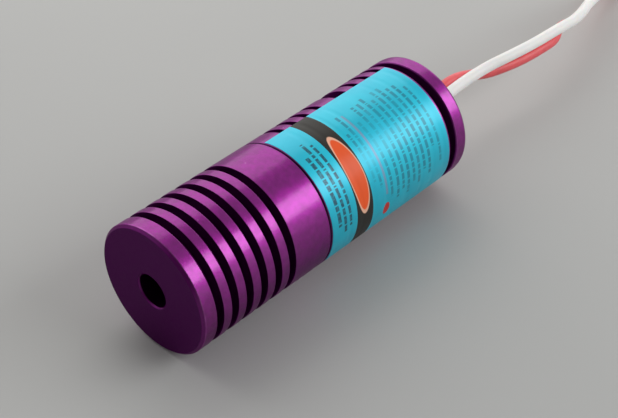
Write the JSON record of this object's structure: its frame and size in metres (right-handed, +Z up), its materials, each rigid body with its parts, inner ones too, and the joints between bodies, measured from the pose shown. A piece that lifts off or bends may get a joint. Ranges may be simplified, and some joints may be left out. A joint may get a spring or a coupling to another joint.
{
  "type": "laser diode module",
  "caption": "Finned round barrel that holds a laser diode, its collimating lens and its driver, with a beam hole in front and two loose leads behind.",
  "frame": {"origin": "on the barrel's axis, in the middle of the plain land that a holder clamps", "axes": "+Y along the barrel from the beam hole to the leads, so the beam leaves towards -Y; +Z up"},
  "size_m": [0.065, 0.1585, 0.0221],
  "materials": {
    "purple_anodised": "satin anodised",
    "label_film": "glossy film",
    "brass": "machined",
    "lens_glass": "polished, coated",
    "steel": "plain",
    "gold_plate": "gold plated",
    "board": "solder mask",
    "black_plastic": "moulded",
    "ferrite": "matte",
    "copper": "enamelled copper",
    "blue_plastic": "moulded",
    "tantalum_yellow": "moulded",
    "chip_ceramic": "matte",
    "solder": "bright",
    "grommet_rubber": "matte",
    "white_insulation": "smooth",
    "red_insulation": "smooth",
    "tinned_copper": "tinned"
  },
  "bodies": {
    "root": {"front_barrel": "purple_anodised", "rear_barrel": "purple_anodised", "rear_cap": "purple_anodised", "label": "label_film", "lens_cell": "brass", "lens": "lens_glass", "lens_ring": "brass", "focus_spring": "steel", "diode_holder": "brass", "diode_base": "gold_plate", "diode_pins": "gold_plate", "diode_can": "steel", "diode_window": "lens_glass", "diode_ring": "brass", "driver_board": "board", "driver_chip": "black_plastic", "chip_legs": "tinned_copper", "inductor_core": "ferrite", "inductor_winding": "copper", "trim_potentiometer": "blue_plastic", "trimmer_screw": "brass", "input_capacitor": "tantalum_yellow", "ceramic_capacitors": "chip_ceramic", "resistors": "black_plastic", "flyback_diode": "black_plastic", "diode_solder": "solder", "lead_solder": "solder", "grommet": "grommet_rubber", "white_lead": "white_insulation", "red_lead": "red_insulation", "white_lead_strands": "tinned_copper", "red_lead_strands": "tinned_copper"}
  },
  "joints": []
}
